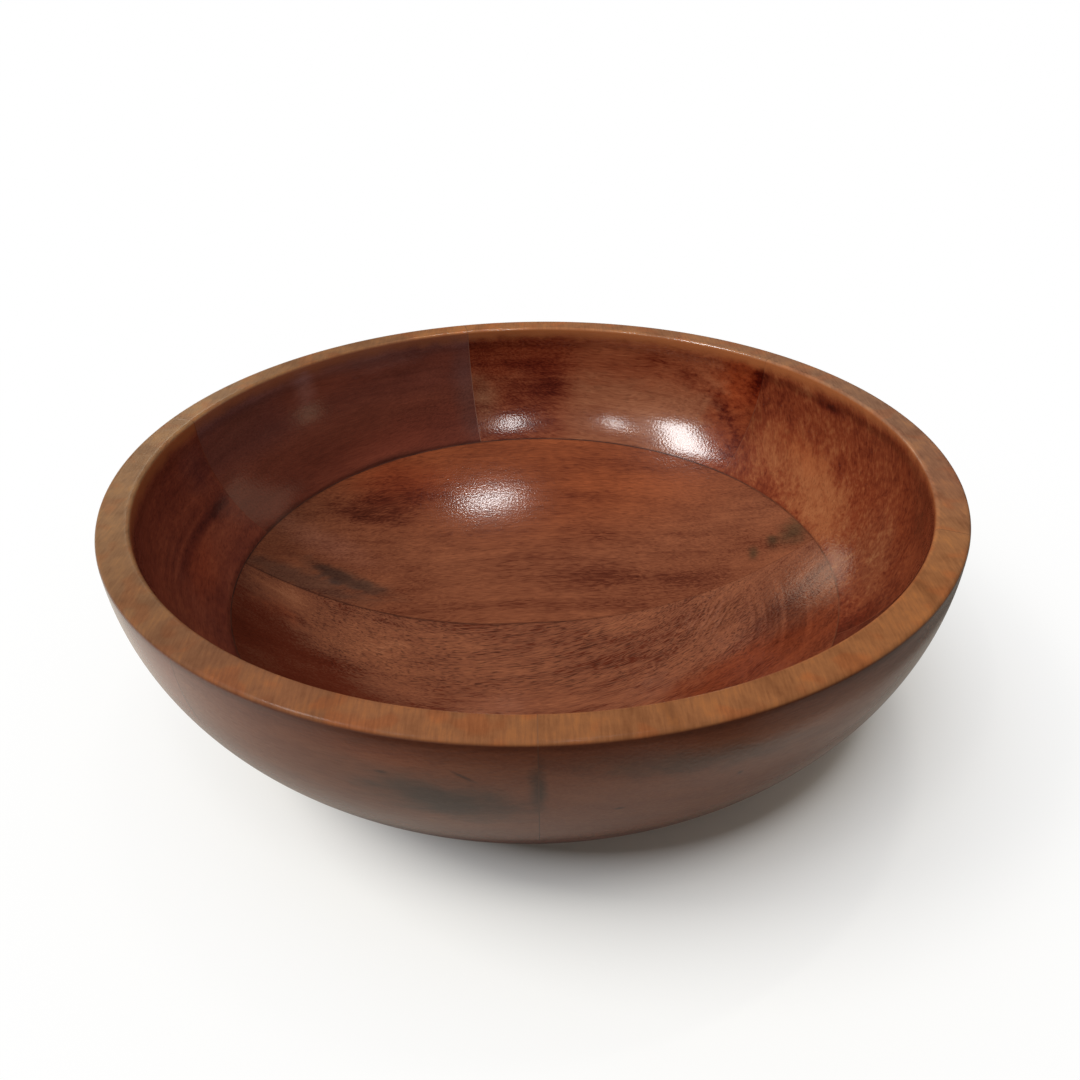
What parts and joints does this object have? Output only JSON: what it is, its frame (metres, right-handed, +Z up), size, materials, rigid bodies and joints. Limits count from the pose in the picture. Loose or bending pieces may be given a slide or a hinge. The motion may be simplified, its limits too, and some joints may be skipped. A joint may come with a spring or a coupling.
{
  "type": "wooden bowl",
  "caption": "Shallow turned wooden serving bowl: a flat-rimmed ring of butted wall segments glued onto a dished base of edge-glued boards with a flat foot.",
  "frame": {"origin": "centre of the flat foot, on the surface that the bowl stands on", "axes": "+Z up along the turning axis, towards the rim; the picture looks along +Y with +X to the right"},
  "size_m": [0.3, 0.3, 0.095],
  "materials": {
    "back_right_wood": "gloss lacquer",
    "back_left_wood": "gloss lacquer",
    "left_wood": "gloss lacquer",
    "front_left_wood": "gloss lacquer",
    "front_right_wood": "gloss lacquer",
    "right_wood": "gloss lacquer",
    "front_board_wood": "gloss lacquer",
    "rear_board_wood": "gloss lacquer",
    "glue": "cured wood glue under lacquer"
  },
  "bodies": {
    "root": {"wall_segment_back_right": "back_right_wood", "wall_segment_back_left": "back_left_wood", "wall_segment_left": "left_wood", "wall_segment_front_left": "front_left_wood", "wall_segment_front_right": "front_right_wood", "wall_segment_right": "right_wood", "segment_glue_lines": "glue", "ring_glue_line": "glue", "floor_board_front": "front_board_wood", "floor_board_rear": "rear_board_wood", "board_glue_line": "glue"}
  },
  "joints": []
}
